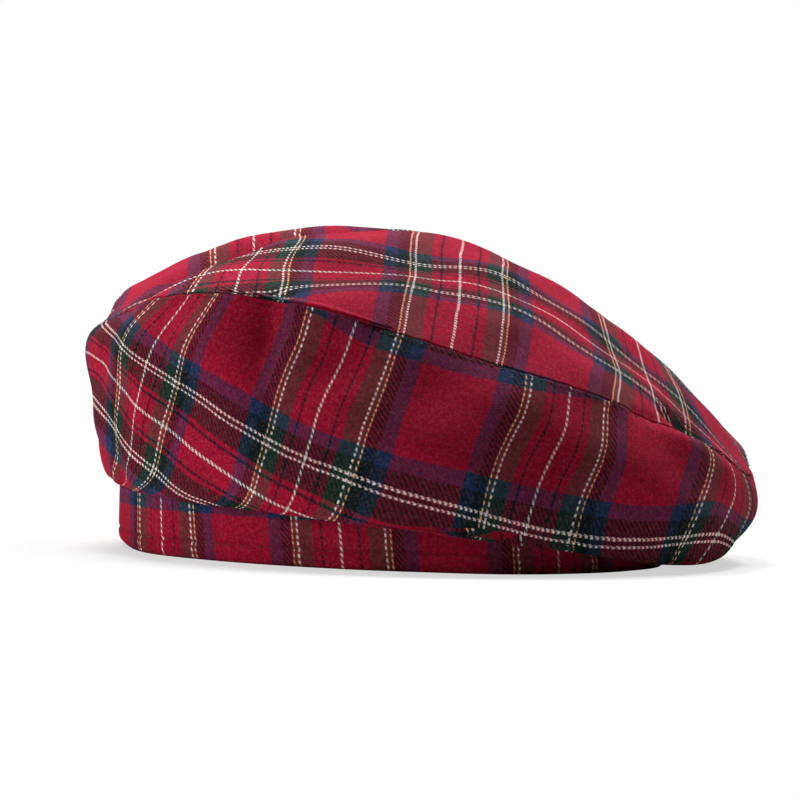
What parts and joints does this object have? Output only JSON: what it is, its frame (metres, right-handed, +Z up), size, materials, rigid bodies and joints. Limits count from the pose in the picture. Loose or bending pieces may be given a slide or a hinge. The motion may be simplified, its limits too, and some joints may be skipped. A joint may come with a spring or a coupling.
{
  "type": "tam o shanter (tartan cloth beret, resting)",
  "caption": "Soft red tartan tam with a wide crown slouched to one side, resting on its stitched headband.",
  "frame": {"origin": "on the surface that the headband rests on, below the middle of the whole hat", "axes": "+Z up, +X towards the side that the crown slouches to, -Y towards the front that the picture shows"},
  "size_m": [0.224, 0.218, 0.1084],
  "materials": {
    "crown_top_cloth": "brushed red tartan twill",
    "crown_side_cloth": "brushed red tartan twill",
    "headband_cloth": "brushed red tartan twill, doubled and topstitched"
  },
  "bodies": {
    "root": {"crown_top": "crown_top_cloth", "crown_side": "crown_side_cloth", "headband": "headband_cloth"}
  },
  "joints": []
}
